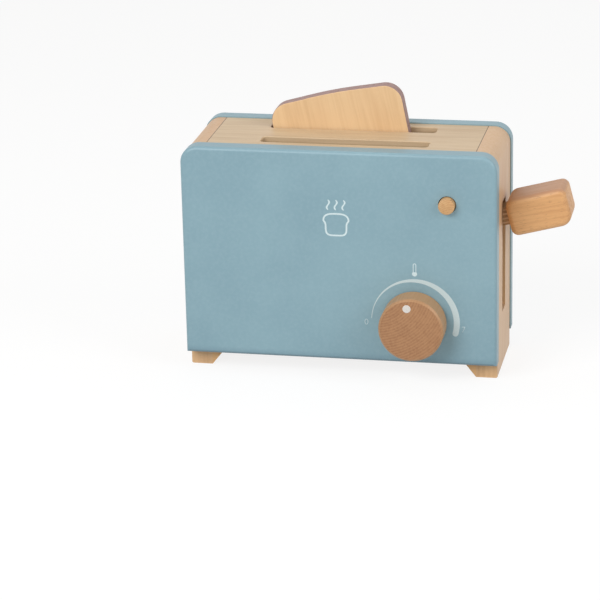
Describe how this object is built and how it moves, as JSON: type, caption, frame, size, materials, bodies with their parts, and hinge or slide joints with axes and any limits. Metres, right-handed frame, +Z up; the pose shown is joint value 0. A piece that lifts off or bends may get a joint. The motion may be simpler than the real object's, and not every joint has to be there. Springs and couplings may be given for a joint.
{
  "type": "toy toaster",
  "caption": "Wooden play toaster with painted side panels, slots in the top, a tilting pop-up lever, a turning dial knob, a release button and a wooden slice of toast.",
  "frame": {"origin": "bottom centre of the whole toy's box at rest, on the surface it stands on", "axes": "+X along the body towards the lever handle, +Y from the front panel to the back, +Z up"},
  "size_m": [0.2672, 0.1094, 0.1952],
  "materials": {
    "blue_paint": "satin paint on wood",
    "frame_wood": "satin clear lacquer",
    "top_wood": "satin clear lacquer",
    "beech": "satin clear lacquer",
    "plywood": "sanded plywood",
    "slice_wood": "matt pale wood with painted crust edge",
    "steel": "zinc plated",
    "nylon": "matt"
  },
  "bodies": {
    "body": {"front_panel": "blue_paint", "rear_panel": "blue_paint", "left_upright": "frame_wood", "right_upright": "frame_wood", "left_foot_block": "frame_wood", "right_foot_block": "frame_wood", "top_board": "top_wood", "floor_board": "plywood", "slot_divider": "top_wood", "front_dowels": "beech", "rear_dowels": "beech", "top_dowels": "beech", "pivot_bracket": "steel", "pivot_bracket_screws": "steel", "pivot_pin": "steel", "pivot_washers": "nylon", "top_screw_eye": "steel", "return_spring": "steel", "latch_bracket": "steel", "latch_bracket_screws": "steel", "latch_pin": "steel", "latch_screw_eye": "steel", "latch_spring": "steel"},
    "lever": {"lever_board": "plywood", "lever_hanger": "beech", "toast_tray": "plywood", "lever_screws": "steel", "lever_screw_eye": "steel", "lever_handle": "beech", "strike_plate": "steel"},
    "latch": {"latch_bar": "plywood", "catch_magnet": "steel", "latch_spring_peg": "steel"},
    "button": {"release_button": "beech"},
    "knob": {"toasting_knob": "beech", "knob_axle": "beech", "knob_washer": "steel", "knob_screw": "steel"},
    "slice": {"toast_slice": "slice_wood"}
  },
  "joints": [
    {"name": "lever_swing", "type": "hinge", "parent": "body", "child": "lever", "pos_m": [-0.10358, 0.00915, 0.097], "axis": [0, 1, 0], "range_deg": [0, 15], "stiffness_Nm_per_rad": 0.6, "springref_deg": -22.92, "deforming": ["return_spring"]},
    {"name": "slice_lift", "type": "slide", "parent": "lever", "child": "slice", "axis": [-0.213, 0, 0.977], "range_m": [0, 0.11]},
    {"name": "button_press", "type": "slide", "parent": "body", "child": "button", "axis": [0, 1, 0], "range_m": [0, 0.004], "stiffness_N_per_m": 200, "springref_m": -0.004},
    {"name": "latch_turn", "type": "hinge", "parent": "body", "child": "latch", "pos_m": [0.05242, -0.00985, 0.092], "axis": [-1, 0, 0], "range_deg": [0, 6.51], "deforming": ["latch_spring"]},
    {"name": "knob_turn", "type": "hinge", "parent": "body", "child": "knob", "pos_m": [0.02942, -0.03635, 0.043], "axis": [0, -1, 0], "continuous": true}
  ],
  "couplings": [
    {"joint": "latch_turn", "follows": "button_press", "rad_per_m": 28.303}
  ]
}
